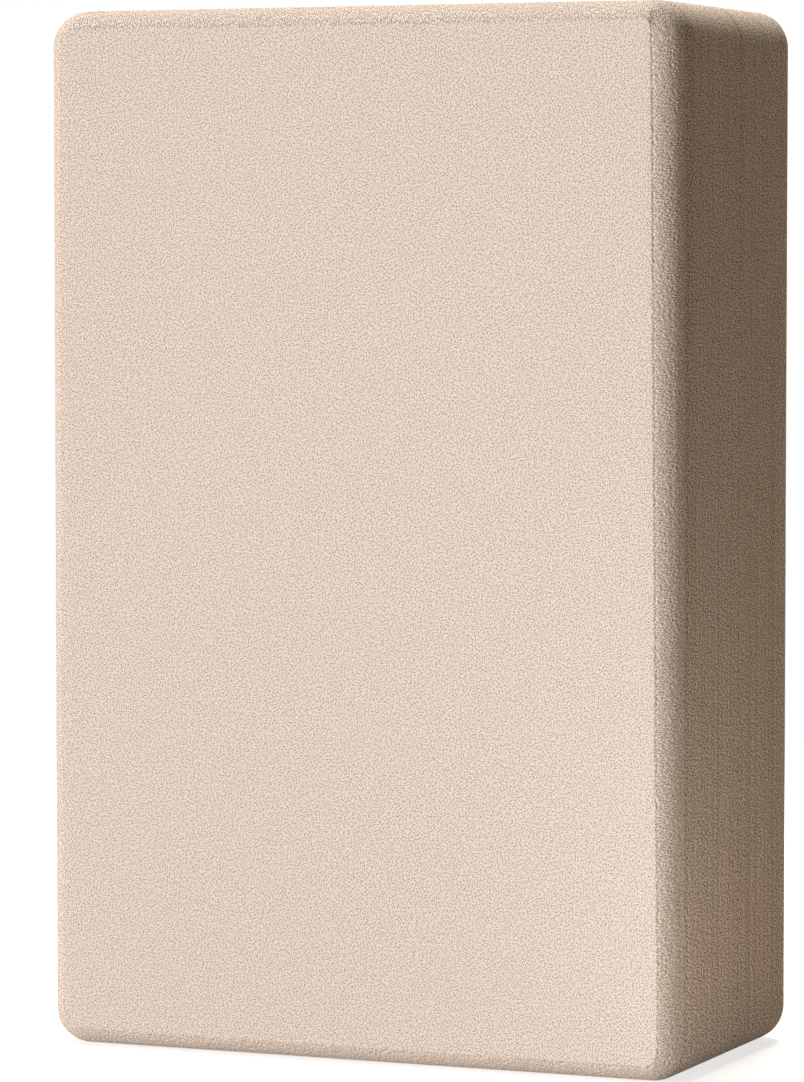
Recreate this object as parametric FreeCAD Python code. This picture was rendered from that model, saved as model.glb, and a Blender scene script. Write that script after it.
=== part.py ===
import FreeCAD, Part
import math
import os

# Yoga block of firm closed-cell foam, standing on one of its short ends.
# Two identical foam slabs lie back to back with a film of cured adhesive between them.
# A rounded rim is routed round the outer broad face of each slab, and a small shoulder
# is left where the rim meets that face.
# Millimetres. The origin is the middle of the end that the block stands on.
# +Z runs up the block, +X across its width and +Y from the front broad face to the rear one.

# Outside of the block
block_height = 230.0
block_width = 150.0
block_thickness = 75.0
corner_radius = 8.0

# Rim round each broad face: radius of the round, distance of its inner edge from the side,
# and the height of the shoulder at that inner edge
rim_radius = 8.0
rim_inset = 4.2
rim_shoulder = 0.3

# Film of adhesive: its thickness, and how far its edge stays back from the sides
film_thickness = 0.25
film_recess = 0.4

# Reach of a cut past the surface that it starts from
cut_overrun = 3.0

quarter_turn_deg = 90.0
half_turn_deg = 180.0

slab_thickness = (block_thickness - film_thickness) / 2
front_face_y = -block_thickness / 2
bond_face_y = -film_thickness / 2

# The rim's arc is tangent to the side and starts at the foot of the shoulder,
# which sets how far back from the broad face it meets the side.
rim_arc_rise = math.sqrt(rim_inset * (2 * rim_radius - rim_inset))
rim_depth = rim_shoulder + rim_arc_rise

front_to_rear = FreeCAD.Vector(0, 1, 0)
turn_axis = FreeCAD.Vector(0, -1, 0)
origin = FreeCAD.Vector(0, 0, 0)
up = FreeCAD.Vector(0, 0, 1)


def corner_centres(y):
    """Centres of the four rounded corners at depth y, anticlockwise seen from the front,
    each with the angle from +X where its arc starts."""
    reach_x = block_width / 2 - corner_radius
    low_z = corner_radius
    high_z = block_height - corner_radius
    places = [(reach_x, high_z), (-reach_x, high_z), (-reach_x, low_z), (reach_x, low_z)]
    return [
        (FreeCAD.Vector(x, y, z), turn * quarter_turn_deg)
        for turn, (x, z) in enumerate(places)
    ]


def around(centre, radius, angle):
    """Point at a radius and an angle from +X about a corner's centre, in the plane of the broad faces."""
    rad = math.radians(angle)
    return centre + FreeCAD.Vector(radius * math.cos(rad), 0, radius * math.sin(rad))


def outline_face(y, recess):
    """Rounded rectangle of the block's front view at depth y, drawn in by a recess on every side."""
    radius = corner_radius - recess
    corners = corner_centres(y)
    edges = []
    for index, (centre, start) in enumerate(corners):
        next_centre, next_start = corners[(index + 1) % len(corners)]
        first = around(centre, radius, start)
        middle = around(centre, radius, start + quarter_turn_deg / 2)
        last = around(centre, radius, start + quarter_turn_deg)
        edges.append(Part.Arc(first, middle, last).toShape())
        edges.append(Part.LineSegment(last, around(next_centre, radius, next_start)).toShape())
    return Part.Face(Part.Wire(edges))


def rim_section(centre, angle):
    """Section of the foam that the rim takes away, on the radial plane at an angle
    about a corner's centre."""

    def point(inset, depth):
        return around(centre, corner_radius - inset, angle) + front_to_rear * depth

    shoulder_foot = point(rim_inset, rim_shoulder)
    arc_half_angle = math.acos((rim_radius - rim_inset) / rim_radius) / 2
    arc_middle = point(
        rim_radius * (1 - math.cos(arc_half_angle)),
        rim_depth - rim_radius * math.sin(arc_half_angle),
    )
    side_tangent = point(0, rim_depth)
    outside_low = point(-cut_overrun, rim_depth)
    outside_high = point(-cut_overrun, -cut_overrun)
    above_crease = point(rim_inset, -cut_overrun)
    edges = [
        Part.LineSegment(above_crease, shoulder_foot).toShape(),
        Part.Arc(shoulder_foot, arc_middle, side_tangent).toShape(),
        Part.LineSegment(side_tangent, outside_low).toShape(),
        Part.LineSegment(outside_low, outside_high).toShape(),
        Part.LineSegment(outside_high, above_crease).toShape(),
    ]
    return Part.Face(Part.Wire(edges))


def rim_cutters():
    """Foam that the router takes off round the front broad face: four corners and four straight runs."""
    corners = corner_centres(front_face_y)
    cutters = []
    for index, (centre, start) in enumerate(corners):
        next_centre, next_start = corners[(index + 1) % len(corners)]
        cutters.append(rim_section(centre, start).revolve(centre, turn_axis, quarter_turn_deg))
        cutters.append(rim_section(centre, next_start).extrude(next_centre - centre))
    return cutters


def make_front_slab():
    """Foam slab from the front broad face to the bond, with its routed rim."""
    blank = outline_face(front_face_y, 0).extrude(front_to_rear * slab_thickness)
    return blank.cut(rim_cutters()).Solids[0]


def make_rear_slab(front_slab):
    """The same slab turned half round about the block's upright middle line."""
    rear_slab = front_slab.copy()
    rear_slab.rotate(origin, up, half_turn_deg)
    return rear_slab


def make_glue_film():
    """Film of adhesive between the slabs' inner faces, a little short of the sides."""
    return outline_face(bond_face_y, film_recess).extrude(front_to_rear * film_thickness)


front_slab = make_front_slab()
pieces = {
    "front_slab": front_slab,
    "rear_slab": make_rear_slab(front_slab),
    "glue_film": make_glue_film(),
}

os.makedirs("parts", exist_ok=True)
for node, solid in pieces.items():
    solid.exportStep("parts/" + node + ".step")
    print(node, "volume", round(solid.Volume), "mm3, valid", solid.isValid())
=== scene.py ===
"""Looks of a yoga block bonded from two slabs of foam, standing on end in a plain white studio."""

import logging
import math
from dataclasses import dataclass
from enum import Enum
from typing import Any

import bpy
import numpy as np
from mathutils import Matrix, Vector


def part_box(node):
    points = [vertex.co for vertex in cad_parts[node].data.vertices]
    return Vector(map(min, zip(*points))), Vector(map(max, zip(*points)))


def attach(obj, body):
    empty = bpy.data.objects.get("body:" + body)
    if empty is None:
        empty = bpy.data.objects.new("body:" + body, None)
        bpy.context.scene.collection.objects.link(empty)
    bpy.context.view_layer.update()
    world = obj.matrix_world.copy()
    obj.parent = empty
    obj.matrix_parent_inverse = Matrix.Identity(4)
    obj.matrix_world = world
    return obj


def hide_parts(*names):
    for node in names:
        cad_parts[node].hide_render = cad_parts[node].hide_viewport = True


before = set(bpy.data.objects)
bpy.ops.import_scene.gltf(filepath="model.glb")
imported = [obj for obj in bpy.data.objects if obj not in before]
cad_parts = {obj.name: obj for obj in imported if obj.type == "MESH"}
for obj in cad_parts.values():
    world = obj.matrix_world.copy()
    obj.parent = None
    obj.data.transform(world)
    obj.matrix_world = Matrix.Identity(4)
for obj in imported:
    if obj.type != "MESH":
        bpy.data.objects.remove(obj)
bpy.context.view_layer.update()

log = logging.getLogger("yoga_block")

MM = 0.001
BODY = "root"
CUT_MAP = "cut"

# Places of the colour sockets on Blender's Mix node, which shares their names among several data types
MIX_FIRST = 6
MIX_SECOND = 7
MIX_RESULT = 2

# Curve of the sRGB standard: a straight foot for dark channels, and a shifted power above it
SRGB_FOOT_END = 0.04045
SRGB_FOOT_SLOPE = 12.92
SRGB_SHIFT = 0.055
SRGB_POWER = 2.4

FULL_TURN = 2.0 * np.pi
QUARTER_TURN = np.pi / 2.0


class Side(Enum):
    """Broad face of the block that a slab carries, as the sign of x and y that turns it there."""

    FRONT = 1.0
    REAR = -1.0


class Cut(Enum):
    """How a stretch of a slab's surface was made, as the number of its material slot."""

    SKIVED = 0
    ROUTED = 1
    SAWN = 2


def linear_colour(hex_code: str) -> tuple[float, float, float, float]:
    """Turns an sRGB colour into linear channels by the standard's curve.

    Args:
        hex_code: Six hex digits after a hash sign.

    Returns:
        Red, green and blue, with alpha 1.
    """
    srgb = np.array([int(hex_code[i : i + 2], 16) for i in (1, 3, 5)]) / 255.0
    foot = srgb / SRGB_FOOT_SLOPE
    curve = ((srgb + SRGB_SHIFT) / (1.0 + SRGB_SHIFT)) ** SRGB_POWER
    red, green, blue = np.where(srgb <= SRGB_FOOT_END, foot, curve).tolist()
    return red, green, blue, 1.0


def add_node(
    tree: bpy.types.NodeTree,
    kind: str,
    settings: dict[str | int, Any] | None = None,
    links: dict[str | int, bpy.types.NodeSocket] | None = None,
) -> bpy.types.Node:
    """Adds one node to a tree.

    Args:
        tree: Tree that gets the node.
        kind: Blender's name of the node's type.
        settings: The node's own options, and the values of input sockets by name or place.
        links: Output sockets that feed the node's input sockets, by the inputs' name or place.

    Returns:
        The new node.
    """
    node = tree.nodes.new(kind)
    for key, value in (settings or {}).items():
        if isinstance(key, str) and hasattr(node, key):
            setattr(node, key, value)
        else:
            node.inputs[key].default_value = value
    for key, socket in (links or {}).items():
        tree.links.new(socket, node.inputs[key])
    return node


def new_tree(name: str) -> tuple[bpy.types.Material, bpy.types.NodeTree]:
    """Makes a material that has no nodes yet.

    Args:
        name: Name of the material.

    Returns:
        The material, and its empty node tree.
    """
    material = bpy.data.materials.new(name)
    material.use_nodes = True
    material.node_tree.nodes.clear()
    return material, material.node_tree


def line_noise(places: np.ndarray, spacing: float, seed: int) -> np.ndarray:
    """Noise along a line: random values from -1 to 1 set a spacing apart and joined by cosine steps.

    Args:
        places: Places along the line.
        spacing: Distance from one random value to the next, in the unit of the places.
        seed: Seed of the random values.

    Returns:
        The noise at each place.
    """
    knots_along = (places - places.min()) / spacing
    knots = np.random.default_rng(seed).uniform(-1.0, 1.0, int(knots_along.max()) + 2)
    before = knots_along.astype(int)
    step = 0.5 - 0.5 * np.cos(np.pi * (knots_along - before))
    return knots[before] * (1.0 - step) + knots[before + 1] * step


def round_noise(turns: np.ndarray, waves: tuple[int, ...], seed: int) -> np.ndarray:
    """Slow wander round the block: the mean of sines with whole numbers of waves, so that it closes.

    Args:
        turns: Places round the outline, from 0 to 1.
        waves: Number of waves of each sine in one round.
        seed: Seed of the sines' phases.

    Returns:
        The wander at each place, from -1 to 1.
    """
    phases = np.random.default_rng(seed).uniform(0.0, FULL_TURN, len(waves))
    return np.sin(FULL_TURN * np.outer(turns, waves) + phases).mean(axis=1)


def closed_mesh(name: str, rings: np.ndarray, band_slots: np.ndarray) -> bpy.types.Mesh:
    """Skin over a stack of rings, closed at both ends by a fan to the middle of the end ring.

    Four-sided faces join each ring to the next one, and the last place of a ring to its first.

    Args:
        name: Name of the mesh.
        rings: Points by ring, place and axis, anticlockwise as seen from the first ring's end.
        band_slots: Material slot of the first fan, of each band between rings and of the last fan.

    Returns:
        The mesh, shaded smooth, with its faces outwards.
    """
    count, places = rings.shape[:2]
    poles = np.stack([rings[0].mean(axis=0), rings[-1].mean(axis=0)])
    points = np.concatenate([rings.reshape(-1, 3), poles])
    here = np.arange(count * places).reshape(count, places)
    onward = np.roll(here, -1, axis=1)
    quads = np.stack([here[:-1], here[1:], onward[1:], onward[:-1]], axis=-1).reshape(-1, 4)
    first_pole = np.full(places, count * places)
    first_fan = np.stack([first_pole, here[0], onward[0]], axis=-1)
    last_fan = np.stack([first_pole + 1, onward[-1], here[-1]], axis=-1)
    mesh = bpy.data.meshes.new(name)
    mesh.from_pydata(points.tolist(), [], first_fan.tolist() + quads.tolist() + last_fan.tolist())
    mesh.polygons.foreach_set("material_index", np.repeat(band_slots, places).astype(np.int32))
    mesh.shade_smooth()
    mesh.update()
    return mesh


@dataclass(frozen=True)
class FoamFinish:
    """Closed-cell EVA foam, cut through its cells, which leaves it matt and finely pitted.

    That gives the eye a flat sand colour with no gloss, a grain of under a millimetre that shows by its
    darker pits and by its own light and shade, slow clouds of a second tint, and the lines that a tool
    leaves along its way. The pits' colour is partly the cut cells' own deeper tone and partly painted
    shade, which stands in for the shade that falls into the pits. The tool's lines are drawn in it too.

    A span holds the values of a pattern at which its colour starts and is full.
    """

    name: str
    colour: str
    cloud_colour: str
    # Colour of the pits: partly the cut cells' own tone, partly painted shade that falls into the pits
    pit_and_shade_colour: str
    grain_across_mm: float
    grain_along_mm: float
    grain_depth_mm: float
    line_share: float
    line_depth_mm: float
    grain_slant_deg: float
    grain_detail: float = 0.0
    pit_and_shade_span: tuple[float, float] = (0.6, 0.4)
    pit_and_shade_share: float = 1.0
    line_mm: float = 0.8
    line_length_mm: float = 250.0
    line_detail: float = 1.0
    line_span: tuple[float, float] = (0.65, 0.25)
    cloud_mm: float = 12.0
    cloud_detail: float = 3.0
    cloud_span: tuple[float, float] = (0.35, 0.65)
    cloud_share: float = 1.0
    roughness: float = 0.88
    ior: float = 1.48

    def material(self) -> bpy.types.Material:
        """Builds the material.

        Returns:
            The foam, with its grain and lines as bump and as colour, and its clouds.
        """
        material, tree = new_tree(self.name)
        place = add_node(tree, "ShaderNodeTexCoord").outputs["Object"]
        cut_place = add_node(tree, "ShaderNodeUVMap", {"uv_map": CUT_MAP}).outputs["UV"]
        # The real cells are about 0.2 mm. They are drawn coarser, so that they show in the render.
        grain = self.cut_pattern(
            tree,
            cut_place,
            self.grain_along_mm,
            self.grain_across_mm,
            self.grain_detail,
            self.grain_slant_deg,
        )
        lines = self.cut_pattern(tree, cut_place, self.line_length_mm, self.line_mm, self.line_detail)
        clouds = add_node(
            tree,
            "ShaderNodeTexNoise",
            {"Scale": 1.0 / (self.cloud_mm * MM), "Detail": self.cloud_detail},
            {"Vector": place},
        ).outputs["Fac"]
        tint = self.mixed(tree, clouds, self.cloud_span, self.cloud_share, None, self.cloud_colour)
        streaked = self.mixed(tree, lines, self.line_span, self.line_share, tint, self.pit_and_shade_colour)
        # Darker where the grain is low: partly the cells' own tone, partly painted shade inside the pits
        pitted_and_shaded = self.mixed(tree, grain, self.pit_and_shade_span, self.pit_and_shade_share, streaked, self.pit_and_shade_colour)
        line_height = add_node(
            tree, "ShaderNodeMath", {"operation": "MULTIPLY", 1: self.line_depth_mm * MM}, {0: lines}
        )
        height = add_node(
            tree,
            "ShaderNodeMath",
            {"operation": "MULTIPLY_ADD", 1: self.grain_depth_mm * MM},
            {0: grain, 2: line_height.outputs[0]},
        )
        bump = add_node(
            tree, "ShaderNodeBump", {"Strength": 1.0, "Distance": 1.0}, {"Height": height.outputs[0]}
        )
        foam = add_node(
            tree,
            "ShaderNodeBsdfPrincipled",
            {"Roughness": self.roughness, "IOR": self.ior},
            {"Base Color": pitted_and_shaded, "Normal": bump.outputs["Normal"]},
        )
        add_node(tree, "ShaderNodeOutputMaterial", {}, {"Surface": foam.outputs["BSDF"]})
        return material

    @staticmethod
    def cut_pattern(
        tree: bpy.types.NodeTree,
        place: bpy.types.NodeSocket,
        along_mm: float,
        across_mm: float,
        detail: float,
        slant_deg: float = 0.0,
    ) -> bpy.types.NodeSocket:
        """Pattern that a tool leaves on its cut: flat noise, drawn out along its way or across it.

        Args:
            tree: Tree that gets the nodes.
            place: Place along and across the cut, in metres.
            along_mm: Size of the pattern's lumps along the cut.
            across_mm: Size of the pattern's lumps across the cut.
            detail: Number of finer layers in the noise.
            slant_deg: Angle by which the lumps are turned on the cut.

        Returns:
            The pattern, from 0 to 1.
        """
        drawn_out = add_node(
            tree,
            "ShaderNodeMapping",
            {
                "vector_type": "TEXTURE",
                "Rotation": (0.0, 0.0, math.radians(slant_deg)),
                "Scale": (along_mm * MM, across_mm * MM, 1.0),
            },
            {"Vector": place},
        )
        noise = add_node(
            tree,
            "ShaderNodeTexNoise",
            {"noise_dimensions": "2D", "Scale": 1.0, "Detail": detail},
            {"Vector": drawn_out.outputs["Vector"]},
        )
        return noise.outputs["Fac"]

    def mixed(
        self,
        tree: bpy.types.NodeTree,
        pattern: bpy.types.NodeSocket,
        span: tuple[float, float],
        share: float,
        under: bpy.types.NodeSocket | None,
        over: str,
    ) -> bpy.types.NodeSocket:
        """Lays a second colour over a first one, as far as a pattern says.

        Args:
            tree: Tree that gets the nodes.
            pattern: Pattern from 0 to 1.
            span: Values of the pattern at which the second colour starts and is full.
            share: Share of the second colour where it is full.
            under: First colour, or None for the foam's own.
            over: Second colour.

        Returns:
            The mixed colour.
        """
        settings = {"From Min": span[0], "From Max": span[1], "To Max": share}
        amount = add_node(tree, "ShaderNodeMapRange", settings, {"Value": pattern})
        links = {"Factor": amount.outputs["Result"]}
        if under is not None:
            links[MIX_FIRST] = under
        colours = {
            "data_type": "RGBA",
            MIX_FIRST: linear_colour(self.colour),
            MIX_SECOND: linear_colour(over),
        }
        return add_node(tree, "ShaderNodeMix", colours, links).outputs[MIX_RESULT]


# Broad face, levelled by a band knife: the finest and most even of the block's surfaces
SKIVED_FOAM = FoamFinish(
    name="eva_foam_skived",
    colour="#F2E2DB",
    cloud_colour="#EFE4D8",
    # Pits: partly the cells' own tone, partly painted shade that falls into them
    pit_and_shade_colour="#A6958B",
    pit_and_shade_span=(0.62, 0.22),
    grain_across_mm=0.3,
    grain_along_mm=0.3,
    grain_depth_mm=0.1,
    grain_slant_deg=33.0,
    cloud_share=0.7,
    line_share=0.0,
    line_depth_mm=0.0,
)

# Rim, cut round by a router: fine wrinkles that lie slanted across the cutter's way
ROUTED_FOAM = FoamFinish(
    name="eva_foam_routed",
    colour="#F9E9DD",
    cloud_colour="#F6E6D8",
    # Pits: partly the cells' own tone, partly painted shade that falls into them
    pit_and_shade_colour="#B7A599",
    grain_across_mm=0.6,
    grain_along_mm=0.24,
    grain_depth_mm=0.22,
    grain_slant_deg=-25.0,
    line_share=0.15,
    line_depth_mm=0.0,
)

# Sides, cut by a saw: the blade tears at the cells, and leaves fine lines along its way
SAWN_FOAM = FoamFinish(
    name="eva_foam_sawn",
    colour="#FDEEDE",
    cloud_colour="#FAE9D7",
    # Dark pits: partly the torn cells' own tone, partly painted shade that stands in for the shade in
    # them
    pit_and_shade_colour="#76604F",
    pit_and_shade_span=(0.55, 0.37),
    grain_across_mm=0.7,
    grain_along_mm=0.28,
    grain_depth_mm=0.1,
    grain_slant_deg=-12.0,
    line_share=0.3,
    line_depth_mm=0.04,
)


@dataclass(frozen=True)
class AdhesiveFinish:
    """Contact adhesive, rolled on and cured.

    That gives the eye a rubbery amber brown with a dull shine and small blisters.
    """

    name: str = "contact_adhesive_cured"
    colour: str = "#A2866C"
    thick_colour: str = "#86694F"
    blister_mm: float = 1.5
    blister_detail: float = 2.0
    blister_depth_mm: float = 0.06
    roughness: float = 0.45
    ior: float = 1.5

    def material(self) -> bpy.types.Material:
        """Builds the material: two browns mixed by the noise that also raises the blisters.

        Returns:
            The cured adhesive.
        """
        material, tree = new_tree(self.name)
        place = add_node(tree, "ShaderNodeTexCoord").outputs["Object"]
        settings = {"Scale": 1.0 / (self.blister_mm * MM), "Detail": self.blister_detail}
        blisters = add_node(tree, "ShaderNodeTexNoise", settings, {"Vector": place}).outputs["Fac"]
        colours = {
            "data_type": "RGBA",
            MIX_FIRST: linear_colour(self.thick_colour),
            MIX_SECOND: linear_colour(self.colour),
        }
        brown = add_node(tree, "ShaderNodeMix", colours, {"Factor": blisters}).outputs[MIX_RESULT]
        bump = add_node(
            tree,
            "ShaderNodeBump",
            {"Strength": 1.0, "Distance": self.blister_depth_mm * MM},
            {"Height": blisters},
        )
        glue = add_node(
            tree,
            "ShaderNodeBsdfPrincipled",
            {"Roughness": self.roughness, "IOR": self.ior},
            {"Base Color": brown, "Normal": bump.outputs["Normal"]},
        )
        add_node(tree, "ShaderNodeOutputMaterial", {}, {"Surface": glue.outputs["BSDF"]})
        return material


@dataclass(frozen=True)
class OutlinePlaces:
    """Places round the block's front view, as arrays.

    The point at an inset is the hub plus the outward direction times the corner radius less the inset.

    Attributes:
        hub: Point on the inner rectangle that the corners turn about, as x and z.
        outward: Direction outwards, as x and z.
        along: Way round to each place and, last, back to the first one.
        corner_turn: Angle from the middle of the place's corner, and 0 on the straight runs.
        turn_step: Angle from the place to the next one.
    """

    hub: np.ndarray
    outward: np.ndarray
    along: np.ndarray
    corner_turn: np.ndarray
    turn_step: np.ndarray

    def turns(self) -> np.ndarray:
        """Share of the way round of each place."""
        return self.along[:-1] / self.along[-1]


@dataclass(frozen=True)
class BlockOutline:
    """Rounded rectangle of the block's front view, walked anticlockwise from the middle of its base."""

    width: float
    height: float
    base: float
    corner_radius: float
    run_step: float = 4.0 * MM
    corner_steps: int = 14
    fewest_run_steps: int = 2

    def places(self) -> OutlinePlaces:
        """Works out the places: even steps along the runs, and even turns about the corners' hubs.

        Returns:
            The places.
        """
        reach = np.array([self.width, self.height]) / 2.0 - self.corner_radius
        middle = np.array([0.0, self.base + self.height / 2.0])
        corners = middle + reach * np.array([(1, -1), (1, 1), (-1, 1), (-1, -1)])
        base_middle = np.array([0.0, corners[0, 1]])
        stops = np.concatenate([[base_middle], corners, [base_middle]])
        corner_share = np.arange(self.corner_steps) / self.corner_steps
        hubs, angles, corner_turns = [], [], []
        for turn, (start, end) in enumerate(zip(stops[:-1], stops[1:])):
            # The first run is the base, which faces down, a quarter turn before +x
            angle = (turn - 1) * QUARTER_TURN
            run = float(np.linalg.norm(end - start))
            steps = max(self.fewest_run_steps, round(run / self.run_step))
            share = np.arange(steps)[:, None] / steps
            hubs.append(start + (end - start) * share)
            angles.append(np.full(steps, angle))
            corner_turns.append(np.zeros(steps))
            if turn < len(corners):
                hubs.append(np.repeat(end[None], self.corner_steps, axis=0))
                angles.append(angle + corner_share * QUARTER_TURN)
                corner_turns.append((corner_share - 0.5) * QUARTER_TURN)
        hub = np.concatenate(hubs)
        angle = np.concatenate(angles)
        outward = np.stack([np.cos(angle), np.sin(angle)], axis=-1)
        turn_step = np.diff(np.append(angle, angle[0] + FULL_TURN))
        run_step = np.linalg.norm(np.roll(hub, -1, axis=0) - hub, axis=1)
        along = np.concatenate([[0.0], np.cumsum(run_step + self.corner_radius * turn_step)])
        return OutlinePlaces(hub, outward, along, np.concatenate(corner_turns), turn_step)


@dataclass(frozen=True)
class RimInsets:
    """Width of the routed rim, seen square on, along each edge of one broad face.

    The right edge has a width for its lower and for its upper end, because the face isn't quite square
    to the block there.
    """

    right_low: float
    right_high: float
    top: float
    left: float
    bottom: float

    def toward(self, outward: np.ndarray, up_share: np.ndarray, corner_radius: float) -> np.ndarray:
        """Works out the width: what a quarter ellipse about the hub leaves of the corner radius.

        The half axes of that ellipse are what the widths along its two edges leave of the radius.

        Args:
            outward: Outward directions as x and z.
            up_share: Share of the block's height of each place.
            corner_radius: Radius of the block's corners.

        Returns:
            The width of the rim at each place.
        """
        parts = np.stack([outward[:, 0], outward[:, 1], -outward[:, 0], -outward[:, 1]], axis=-1)
        widths = np.broadcast_to([0.0, self.top, self.left, self.bottom], parts.shape).copy()
        widths[:, 0] = self.right_low + (self.right_high - self.right_low) * up_share
        half_axes = corner_radius - widths
        return corner_radius - ((np.clip(parts, 0.0, None) / half_axes) ** 2).sum(axis=1) ** -0.5


@dataclass(frozen=True)
class RimSection:
    """Section of the routed rim, from the flat of the broad face out to the side.

    The router's round has one radius all round the face and ends flush with the side. It starts under
    a small shoulder with a narrow quirk along its foot, at a slant that is steeper where the rim is
    narrow. Over its last rows the cutter only grazes the foam, so that they keep the saw's torn grain,
    made finer.
    """

    radius: float = 8.0 * MM
    shoulder: float = 0.16 * MM
    shoulder_run: float = 0.5 * MM
    quirk_depth: float = 0.05 * MM
    quirk_place: float = 0.08 * MM
    quirk_half_width: float = 0.22 * MM
    shoulder_rows: int = 20
    round_rows: int = 38
    torn_rows: int = 13
    torn_fineness: float = 1.6

    def points(self, width: np.ndarray) -> tuple[np.ndarray, np.ndarray]:
        """Works out the section at every place.

        Outwards from the crease, depth is the round's fall, plus the shoulder as a smooth step that ends
        there, plus the quirk as a bell.

        Args:
            width: Width of the rim at each place.

        Returns:
            Insets from the side and depths behind the broad face by row and place, from the flat to
            the side.
        """
        crease_chord = self.radius - width
        lip = self.shoulder_run
        shoulder_out = np.linspace(-lip, lip, self.shoulder_rows)[:, None] + 0.0 * width
        low_angle = np.arcsin((crease_chord + lip) / self.radius)
        share = np.linspace(0.0, 1.0, self.round_rows + 1)[1:, None]
        round_out = self.radius * np.sin(low_angle + (QUARTER_TURN - low_angle) * share) - crease_chord
        out = np.concatenate([shoulder_out, round_out])
        chord = np.clip(out, 0.0, None) + crease_chord
        crease_rise = np.sqrt(self.radius**2 - crease_chord**2)
        fall = crease_rise - np.sqrt(np.clip(self.radius**2 - chord**2, 0.0, None))
        step = np.clip((out + lip) / (lip + self.quirk_place), 0.0, 1.0)
        shoulder = self.shoulder * step * step * (3.0 - 2.0 * step)
        quirk = self.quirk_depth * np.exp(-(((out - self.quirk_place) / self.quirk_half_width) ** 2))
        # The first row lies in the flat of the face
        quirk[0] = 0.0
        return width - out, fall + shoulder + quirk


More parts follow.
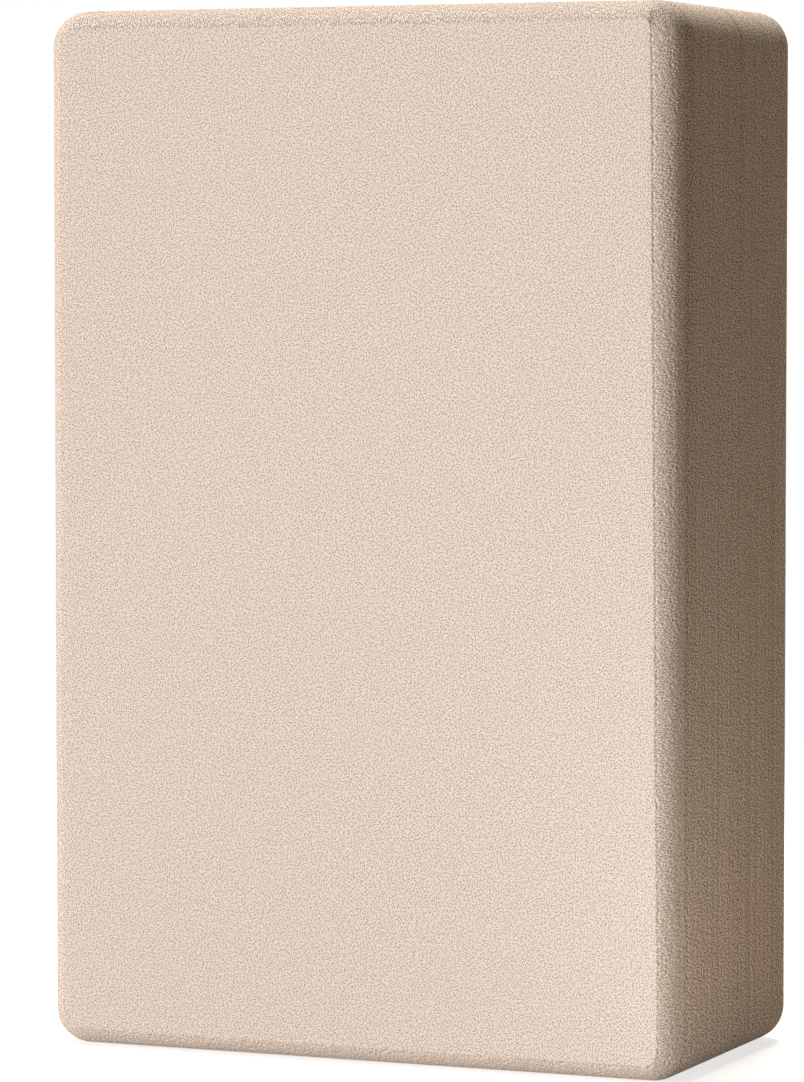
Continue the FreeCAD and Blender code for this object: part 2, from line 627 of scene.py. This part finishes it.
@dataclass
class FoamSlab:
    """One of the two foam slabs: skived broad face, routed rim, sawn side and flat bonded face."""

    name: str
    node: str
    side: Side
    insets: RimInsets
    seed: int
    rim: RimSection = RimSection()
    corner_radius: float = 8.0 * MM
    rim_wander: float = 0.08 * MM
    rim_waves: tuple[int, ...] = (5, 9, 14, 23)
    face_rows: int = 24
    face_wave: float = 0.12 * MM
    face_wave_length: float = 70.0 * MM
    face_wave_skew: float = 0.4
    face_wave_stretch: float = 0.8
    face_wave_slow: float = 0.5
    face_wave_hold: int = 6
    side_rows: int = 110
    bond_edge_radius: float = 0.15 * MM
    bond_edge_rows: int = 5
    bond_rows: int = 6
    ridge_spacing: float = 0.55 * MM
    ridge_height: float = 0.014 * MM
    ridge_waves: tuple[int, ...] = (1, 2, 3, 5)
    streak_spacing: float = 0.7 * MM
    streak_height: float = 0.016 * MM

    def build(self, finishes: dict[Cut, bpy.types.Material]) -> bpy.types.Object:
        """Builds and dresses the slab, and puts it in its CAD node's place.

        Args:
            finishes: Material of each kind of cut.

        Returns:
            The slab.
        """
        rings, slots, ways = self.surface()
        mesh = closed_mesh(self.name, rings, slots)
        for cut in Cut:
            mesh.materials.append(finishes[cut])
        cut_map = self.cut_map(rings, slots, ways)
        mesh.uv_layers.new(name=CUT_MAP).data.foreach_set("uv", cut_map.astype(np.float32).ravel())
        slab = bpy.data.objects.new(self.name, mesh)
        bpy.context.scene.collection.objects.link(slab)
        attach(slab, BODY)
        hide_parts(self.node)
        return slab

    def surface(self) -> tuple[np.ndarray, np.ndarray, np.ndarray]:
        """Works out the slab's skin: the section carried round the outline, from face to bond.

        Returns:
            Points by ring, place and axis; the material slot of each band; and the way along the outline
            at the start and the end of each face by ring and place.
        """
        low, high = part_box(self.node)
        thickness = high.y - low.y
        outline = BlockOutline(high.x - low.x, high.z - low.z, low.z, self.corner_radius)
        places = outline.places()
        up_share = (places.hub[:, 1] - low.z) / (high.z - low.z)
        width = self.insets.toward(places.outward, up_share, self.corner_radius)
        width = width + self.rim_wander * round_noise(places.turns(), self.rim_waves, self.seed)
        rim_inset, rim_depth = self.rim.points(width)
        side_end = thickness - self.bond_edge_radius
        side_share = (np.arange(self.side_rows) + 1.0)[:, None] / self.side_rows
        side_depth = rim_depth[-1] + (side_end - rim_depth[-1]) * side_share
        turn = (np.arange(self.bond_edge_rows) + 1.0)[:, None] / self.bond_edge_rows * QUARTER_TURN
        edge_inset = self.bond_edge_radius * (1.0 - np.cos(turn)) + 0.0 * width
        edge_depth = side_end + self.bond_edge_radius * np.sin(turn) + 0.0 * width
        edge_depth_rows = np.concatenate([rim_depth, side_depth, edge_depth])
        edge_inset_rows = np.concatenate([rim_inset, 0.0 * side_depth, edge_inset])
        out, back = self.ridged(edge_inset_rows, edge_depth_rows, places.turns(), len(rim_inset))

        reach = self.corner_radius - edge_inset_rows + out
        flat = places.hub + places.outward * reach[..., None]
        middle = np.array([0.0, (low.z + high.z) / 2.0])
        face_share = (np.arange(self.face_rows) + 1.0)[:, None, None] / (self.face_rows + 1.0)
        face = middle + (flat[0] - middle) * face_share
        bond_share = 1.0 - (np.arange(self.bond_rows) + 1.0)[:, None, None] / (self.bond_rows + 1.0)
        bond = middle + (flat[-1] - middle) * bond_share
        plan = np.concatenate([face, flat, bond])
        bond_depth = np.full(bond.shape[:2], thickness)
        depth_rows = np.concatenate([self.wave(face), edge_depth_rows + back, bond_depth])

        front = -max(abs(low.y), abs(high.y))
        rings = np.stack([plan[..., 0], front + depth_rows, plan[..., 1]], axis=-1)
        rings[..., :2] *= self.side.value
        slots = np.concatenate(
            [
                np.full(self.face_rows + 1, Cut.SKIVED.value),
                np.full(len(rim_inset) - 1 - self.rim.torn_rows, Cut.ROUTED.value),
                np.full(self.rim.torn_rows + self.side_rows + self.bond_edge_rows, Cut.SAWN.value),
                np.full(self.bond_rows + 1, Cut.SKIVED.value),
            ]
        )
        inset = np.zeros(rings.shape[:2])
        inset[self.face_rows : self.face_rows + len(edge_inset_rows)] = edge_inset_rows
        start = places.along[:-1] - inset * places.corner_turn
        end = places.along[1:] - inset * (places.corner_turn + places.turn_step)
        return rings, slots, np.stack([start, end], axis=-1)

    def cut_map(self, rings: np.ndarray, slots: np.ndarray, ways: np.ndarray) -> np.ndarray:
        """Map that the grain and the tool's lines follow, in metres, by face corner in the mesh's order.

        On the skived faces it is x and z. On the rim and the side it is the way along the outline,
        which keeps its true length in the corners, and the way across the section to the bond, which
        is the sum of the steps from ring to ring. The steps count for more on the rim's torn rows.

        Args:
            rings: Points by ring, place and axis.
            slots: Material slot of each band.
            ways: Way along the outline at the start and the end of each face, by ring and place.

        Returns:
            Two coordinates for each corner of each face.
        """
        skived = slots[1:-1] == Cut.SKIVED.value
        steps = np.linalg.norm(np.diff(rings, axis=0), axis=-1)
        steps[skived] = 0.0
        torn = np.argmax(slots[1:-1] == Cut.SAWN.value) + np.arange(self.rim.torn_rows)
        steps[torn] *= np.linspace(self.rim.torn_fineness, 1.0, self.rim.torn_rows)[:, None]
        across = np.concatenate([np.zeros_like(steps[:1]), np.cumsum(steps, axis=0)])
        across = across - across[-1]
        across_next = np.roll(across, -1, axis=1)
        flat = rings[..., [0, 2]]
        onward = np.roll(flat, -1, axis=1)
        on_face = np.stack([flat[:-1], flat[1:], onward[1:], onward[:-1]], axis=2)
        way = np.stack([ways[:-1, :, 0], ways[1:, :, 0], ways[1:, :, 1], ways[:-1, :, 1]], axis=-1)
        reach = np.stack([across[:-1], across[1:], across_next[1:], across_next[:-1]], axis=-1)
        on_cut = np.stack([way, reach], axis=-1)
        bands = np.where(skived[:, None, None, None], on_face, on_cut)
        middles = np.broadcast_to(flat.mean(axis=1, keepdims=True), flat.shape)
        first_fan = np.stack([middles[0], flat[0], onward[0]], axis=1)
        last_fan = np.stack([middles[-1], onward[-1], flat[-1]], axis=1)
        return np.concatenate([corners.reshape(-1, 2) for corners in (first_fan, bands, last_fan)])

    def wave(self, plan: np.ndarray) -> np.ndarray:
        """Depth of the broad face's slight waves: crossed sines, which die out towards the crease.

        Args:
            plan: Points of the face as x and z.

        Returns:
            The depth of each point, never in front of the flat.
        """
        skew_shift, up_shift, slow_shift = np.random.default_rng(self.seed).uniform(0.0, FULL_TURN, 3)
        x, z = (FULL_TURN / self.face_wave_length) * np.moveaxis(plan, -1, 0)
        skewed = np.sin(x + self.face_wave_skew * z + skew_shift)
        upright = np.sin(self.face_wave_stretch * z + up_shift)
        slow = np.sin(self.face_wave_slow * (x - z) + slow_shift)
        crossed = skewed * upright + slow
        share = np.linspace(0.0, 1.0, len(plan))[:, None]
        fade = 1.0 - share**self.face_wave_hold
        # The sines together run from -2 to 2, which becomes 0 to 1
        return self.face_wave * fade * (0.5 + 0.25 * crossed)

    def ridged(
        self, inset: np.ndarray, depth: np.ndarray, turns: np.ndarray, rim_rows: int
    ) -> tuple[np.ndarray, np.ndarray]:
        """Lifts the tool's lengthwise ridges on the rim and the saw's streaks on the side.

        Two line noises across the section are mixed by a slow wander along it, so that a ridge fades in
        and out on its way, and the surface moves by that along its own normal.

        Args:
            inset: Insets by ring and place.
            depth: Depths by ring and place.
            turns: Share of the way round of each place.
            rim_rows: Number of the rings that are on the rim.

        Returns:
            How far each point moves outwards and backwards.
        """
        step_in = np.gradient(inset.mean(axis=1))
        step_back = np.gradient(depth.mean(axis=1))
        length = np.hypot(step_in, step_back)
        across = np.cumsum(length)
        on_rim = np.arange(len(across)) < rim_rows
        height = np.where(on_rim, self.ridge_height, self.streak_height)
        # The shoulder is two runs wide and has no ridges. They grow to their height over as much again.
        height = height * np.clip((across - across[0]) / self.rim.shoulder_run / 2.0 - 1.0, 0.0, 1.0)
        first, second = (
            np.where(
                on_rim,
                line_noise(across, self.ridge_spacing, self.seed + draw),
                line_noise(across, self.streak_spacing, self.seed + draw),
            )[:, None]
            for draw in (1, 2)
        )
        drift = np.pi * round_noise(turns, self.ridge_waves, self.seed + 3)
        lift = height[:, None] * (first * np.cos(drift) + second * np.sin(drift))
        lift[-self.bond_edge_rows :] = 0.0
        return lift * (step_back / length)[:, None], lift * (step_in / length)[:, None]


@dataclass
class GlueFilm:
    """Film of cured adhesive between the slabs, with an uneven edge that stays back from the sides."""

    name: str = "glue_film_cured"
    node: str = "glue_film"
    corner_radius: float = 8.0 * MM
    node_recess: float = 0.4 * MM
    recess: float = 0.12 * MM
    recess_wander: float = 0.1 * MM
    recess_waves: tuple[int, ...] = (7, 16, 31, 50)
    seed: int = 41
    edge_rows: int = 6
    face_rows: int = 5

    def build(self, material: bpy.types.Material) -> bpy.types.Object:
        """Builds and dresses the film, and puts it in its CAD node's place.

        Args:
            material: The cured adhesive.

        Returns:
            The film.
        """
        rings = self.surface()
        mesh = closed_mesh(self.name, rings, np.zeros(len(rings) + 1))
        mesh.materials.append(material)
        film = bpy.data.objects.new(self.name, mesh)
        bpy.context.scene.collection.objects.link(film)
        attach(film, BODY)
        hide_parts(self.node)
        return film

    def surface(self) -> np.ndarray:
        """Works out the film's skin: flat faces, and a half round edge whose recess wanders.

        Returns:
            Points by ring, place and axis.
        """
        low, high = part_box(self.node)
        half = (high.y - low.y) / 2.0
        width = high.x - low.x + 2.0 * self.node_recess
        height = high.z - low.z + 2.0 * self.node_recess
        outline = BlockOutline(width, height, low.z - self.node_recess, self.corner_radius)
        places = outline.places()
        wander = round_noise(places.turns(), self.recess_waves, self.seed)
        recess = self.recess + self.recess_wander * wander
        turn = np.linspace(0.0, np.pi, self.edge_rows)[:, None]
        edge_inset = recess + half * (1.0 - np.sin(turn))
        edge = places.hub + places.outward * (self.corner_radius - edge_inset[..., None])
        middle = np.array([0.0, (low.z + high.z) / 2.0])
        share = (np.arange(self.face_rows) + 1.0)[:, None, None] / (self.face_rows + 1.0)
        front = middle + (edge[0] - middle) * share
        rear = (middle + (edge[-1] - middle) * share)[::-1]
        plan = np.concatenate([front, edge, rear])
        edge_y = -half * np.cos(turn[:, 0])
        y = np.concatenate([np.full(self.face_rows, -half), edge_y, np.full(self.face_rows, half)])
        y_rows = np.broadcast_to(y[:, None], plan.shape[:2])
        return np.stack([plan[..., 0], y_rows, plan[..., 1]], axis=-1)


@dataclass(frozen=True)
class Softbox:
    """Square studio lamp with a cloth front, by its direction and distance from what it is aimed at."""

    name: str
    aim: tuple[float, float, float]
    right_deg: float
    up_deg: float
    distance: float
    width: float
    power: float
    colour: str

    def build(self) -> bpy.types.Object:
        """Puts the lamp in the scene, turned to its aim.

        Returns:
            The lamp.
        """
        lamp = bpy.data.lights.new(self.name, "AREA")
        lamp.shape = "SQUARE"
        lamp.size = self.width
        lamp.energy = self.power
        lamp.color = linear_colour(self.colour)[:3]
        right = math.radians(self.right_deg)
        up = math.radians(self.up_deg)
        toward = Vector((math.sin(right) * math.cos(up), -math.cos(right) * math.cos(up), math.sin(up)))
        box = bpy.data.objects.new(self.name, lamp)
        box.location = Vector(self.aim) + toward * self.distance
        box.rotation_euler = toward.to_track_quat("Z", "Y").to_euler()
        box.visible_camera = False
        bpy.context.scene.collection.objects.link(box)
        return box


@dataclass
class Studio:
    """White paper floor, soft lamps and the dim warm room round them."""

    lamps: tuple[Softbox, ...]
    floor_radius: float = 1.6
    floor_inner_share: float = 0.05
    floor_places: int = 96
    floor_rings: int = 20
    floor_drop: float = 0.05 * MM
    floor_colour: str = "#E7E4E1"
    bounce_colour: str = "#9C8F7F"
    shadow_reach: float = 0.75
    shadow_hold_share: float = 0.4
    white_lift: float = 0.7
    room_colour: str = "#FFDDB8"
    room_strength: float = 0.01

    def build(self) -> None:
        """Builds the floor, the lamps and the world."""
        self.floor()
        for lamp in self.lamps:
            lamp.build()
            log.info("lamp %s", lamp.name)
        self.room()

    def floor(self) -> bpy.types.Object:
        """Round floor: rings of points at even steps of radius, flat, just under the block.

        Returns:
            The floor, marked as not part of the object.
        """
        turn = np.linspace(0.0, FULL_TURN, self.floor_places, endpoint=False)
        radius = self.floor_radius * np.linspace(self.floor_inner_share, 1.0, self.floor_rings)[:, None]
        x = radius * np.cos(turn)
        y = radius * np.sin(turn)
        flat = np.stack([x, y, np.full(x.shape, -self.floor_drop)], axis=-1)
        here = np.arange(x.size).reshape(x.shape)
        onward = np.roll(here, -1, axis=1)
        quads = np.stack([here[:-1], here[1:], onward[1:], onward[:-1]], axis=-1).reshape(-1, 4)
        mesh = bpy.data.meshes.new("floor")
        mesh.from_pydata(flat.reshape(-1, 3).tolist(), [], quads.tolist() + [here[0].tolist()])
        mesh.materials.append(self.paper())
        floor = bpy.data.objects.new("floor", mesh)
        bpy.context.scene.collection.objects.link(floor)
        # The key softbox stands low, and its light comes up through the floor to the block's lower rim
        floor.visible_shadow = False
        return floor

    @staticmethod
    def seen(tree: bpy.types.NodeTree) -> bpy.types.NodeSocket:
        """Picks out the rays that show the background: seen straight, mirrored or through glass.

        Args:
            tree: Tree that gets the nodes.

        Returns:
            1 for those rays and 0 for all others.
        """
        path = add_node(tree, "ShaderNodeLightPath").outputs
        mirrored = add_node(
            tree,
            "ShaderNodeMath",
            {"operation": "MAXIMUM"},
            {0: path["Is Camera Ray"], 1: path["Is Glossy Ray"]},
        )
        either = add_node(
            tree,
            "ShaderNodeMath",
            {"operation": "MAXIMUM"},
            {0: mirrored.outputs[0], 1: path["Is Transmission Ray"]},
        )
        return either.outputs[0]

    def paper(self) -> bpy.types.Material:
        """Matt white paper, lifted to white where it is seen, all white away from the block's shadow.

        Returns:
            The material.
        """
        material, tree = new_tree("paper_white")
        place = add_node(tree, "ShaderNodeTexCoord").outputs["Object"]
        far = add_node(tree, "ShaderNodeVectorMath", {"operation": "LENGTH"}, {0: place})
        fade = add_node(
            tree,
            "ShaderNodeMapRange",
            {
                "interpolation_type": "SMOOTHSTEP",
                "From Min": self.shadow_hold_share * self.shadow_reach,
                "From Max": self.shadow_reach,
            },
            {"Value": far.outputs["Value"]},
        )
        paper = add_node(tree, "ShaderNodeBsdfDiffuse", {"Color": linear_colour(self.floor_colour)})
        lift = add_node(tree, "ShaderNodeEmission", {"Strength": self.white_lift})
        lifted = add_node(tree, "ShaderNodeAddShader", {}, {0: paper.outputs[0], 1: lift.outputs[0]})
        white = add_node(tree, "ShaderNodeEmission", {"Strength": 1.0})
        shown = add_node(
            tree,
            "ShaderNodeMixShader",
            {},
            {"Fac": fade.outputs["Result"], 1: lifted.outputs[0], 2: white.outputs[0]},
        )
        bounce = add_node(tree, "ShaderNodeBsdfDiffuse", {"Color": linear_colour(self.bounce_colour)})
        either = add_node(
            tree,
            "ShaderNodeMixShader",
            {},
            {"Fac": self.seen(tree), 1: bounce.outputs[0], 2: shown.outputs[0]},
        )
        add_node(tree, "ShaderNodeOutputMaterial", {}, {"Surface": either.outputs[0]})
        return material

    def room(self) -> None:
        """World: white where it is seen, a dim warm room as light."""
        world = bpy.data.worlds.new("room")
        world.use_nodes = True
        tree = world.node_tree
        tree.nodes.clear()
        dim = add_node(
            tree,
            "ShaderNodeBackground",
            {"Color": linear_colour(self.room_colour), "Strength": self.room_strength},
        )
        white = add_node(tree, "ShaderNodeBackground", {"Color": (1.0, 1.0, 1.0, 1.0), "Strength": 1.0})
        either = add_node(
            tree,
            "ShaderNodeMixShader",
            {},
            {"Fac": self.seen(tree), 1: dim.outputs[0], 2: white.outputs[0]},
        )
        add_node(tree, "ShaderNodeOutputWorld", {}, {"Surface": either.outputs[0]})
        bpy.context.scene.world = world


@dataclass(frozen=True)
class ProductCamera:
    """Long lens, a little above the middle of the block and to its right."""

    place: tuple[float, float, float] = (435.55 * MM, -1031.29 * MM, 177.65 * MM)
    heading_deg: float = 23.12
    down_deg: float = 3.34
    lens_mm: float = 166.97
    sensor_mm: float = 36.0

    def build(self) -> bpy.types.Object:
        """Puts the camera in the scene and makes it the active one.

        Returns:
            The camera.
        """
        data = bpy.data.cameras.new("product_camera")
        data.lens = self.lens_mm
        data.sensor_width = self.sensor_mm
        camera = bpy.data.objects.new("product_camera", data)
        camera.location = self.place
        # Unturned, the camera looks straight down, and a tilt of 90 degrees makes it level
        tilt = math.radians(90.0 - self.down_deg)
        camera.rotation_euler = (tilt, 0.0, math.radians(self.heading_deg))
        bpy.context.scene.collection.objects.link(camera)
        bpy.context.scene.camera = camera
        return camera


FRONT_INSETS = RimInsets(
    right_low=4.5 * MM,
    right_high=6.8 * MM,
    top=3.9 * MM,
    left=3.7 * MM,
    bottom=3.5 * MM,
)
REAR_INSETS = RimInsets(
    right_low=4.2 * MM,
    right_high=4.4 * MM,
    top=4.0 * MM,
    left=4.5 * MM,
    bottom=4.1 * MM,
)

BLOCK_MIDDLE = (0.0, 0.0, 115.0 * MM)
LAMPS = (
    # Main light of the front face
    Softbox(
        name="key_softbox",
        aim=BLOCK_MIDDLE,
        right_deg=-32.0,
        up_deg=-14.0,
        distance=4.5,
        width=1.4,
        power=175.0,
        colour="#FFFFFF",
    ),
    # Light of the top end and the upper rim, from the left and from behind
    Softbox(
        name="top_left_softbox",
        aim=BLOCK_MIDDLE,
        right_deg=-60.0,
        up_deg=65.0,
        distance=2.5,
        width=0.8,
        power=39.0,
        colour="#FFFCFA",
    ),
    Softbox(
        name="top_back_softbox",
        aim=BLOCK_MIDDLE,
        right_deg=188.0,
        up_deg=62.0,
        distance=2.5,
        width=0.8,
        power=52.0,
        colour="#FFF6E6",
    ),
    # Small cards near the block: upper and lower part of its right rim, and foot of its side
    Softbox(
        name="front_card",
        aim=(75.0 * MM, -37.5 * MM, 185.0 * MM),
        right_deg=0.0,
        up_deg=0.0,
        distance=0.2,
        width=0.12,
        power=0.036,
        colour="#FFEBD2",
    ),
    Softbox(
        name="rim_card",
        aim=(75.0 * MM, -37.5 * MM, 62.0 * MM),
        right_deg=38.0,
        up_deg=0.0,
        distance=0.08,
        width=0.09,
        power=0.0095,
        colour="#FFFFFF",
    ),
    Softbox(
        name="side_card",
        aim=(70.0 * MM, -30.0 * MM, 2.0 * MM),
        right_deg=50.0,
        up_deg=4.0,
        distance=0.07,
        width=0.05,
        power=0.0112,
        colour="#FFFFFF",
    ),
    # Card that lies on the floor beside the block, and lights its right side from below
    Softbox(
        name="side_floor_card",
        aim=(150.0 * MM, 0.0, 100.0 * MM),
        right_deg=0.0,
        up_deg=-90.0,
        distance=0.099,
        width=0.12,
        power=0.0122,
        colour="#FFDCC0",
    ),
    # Light of the rear face
    Softbox(
        name="back_softbox",
        aim=BLOCK_MIDDLE,
        right_deg=215.0,
        up_deg=8.0,
        distance=3.0,
        width=1.0,
        power=30.0,
        colour="#FFFFFF",
    ),
)


def main() -> None:
    """Builds the camera, the block's pieces and the studio."""
    bpy.context.scene.view_settings.view_transform = "Standard"
    ProductCamera().build()
    finishes = {
        Cut.SKIVED: SKIVED_FOAM.material(),
        Cut.ROUTED: ROUTED_FOAM.material(),
        Cut.SAWN: SAWN_FOAM.material(),
    }
    slabs = (
        FoamSlab("front_foam_slab", "front_slab", Side.FRONT, FRONT_INSETS, seed=11),
        FoamSlab("rear_foam_slab", "rear_slab", Side.REAR, REAR_INSETS, seed=23),
    )
    for slab in slabs:
        piece = slab.build(finishes)
        log.info("%s: %d faces", piece.name, len(piece.data.polygons))
    film = GlueFilm().build(AdhesiveFinish().material())
    log.info("%s: %d faces", film.name, len(film.data.polygons))
    Studio(LAMPS).build()


if __name__ == "__main__":
    logging.basicConfig(level=logging.INFO, format="%(name)s: %(message)s")
    main()
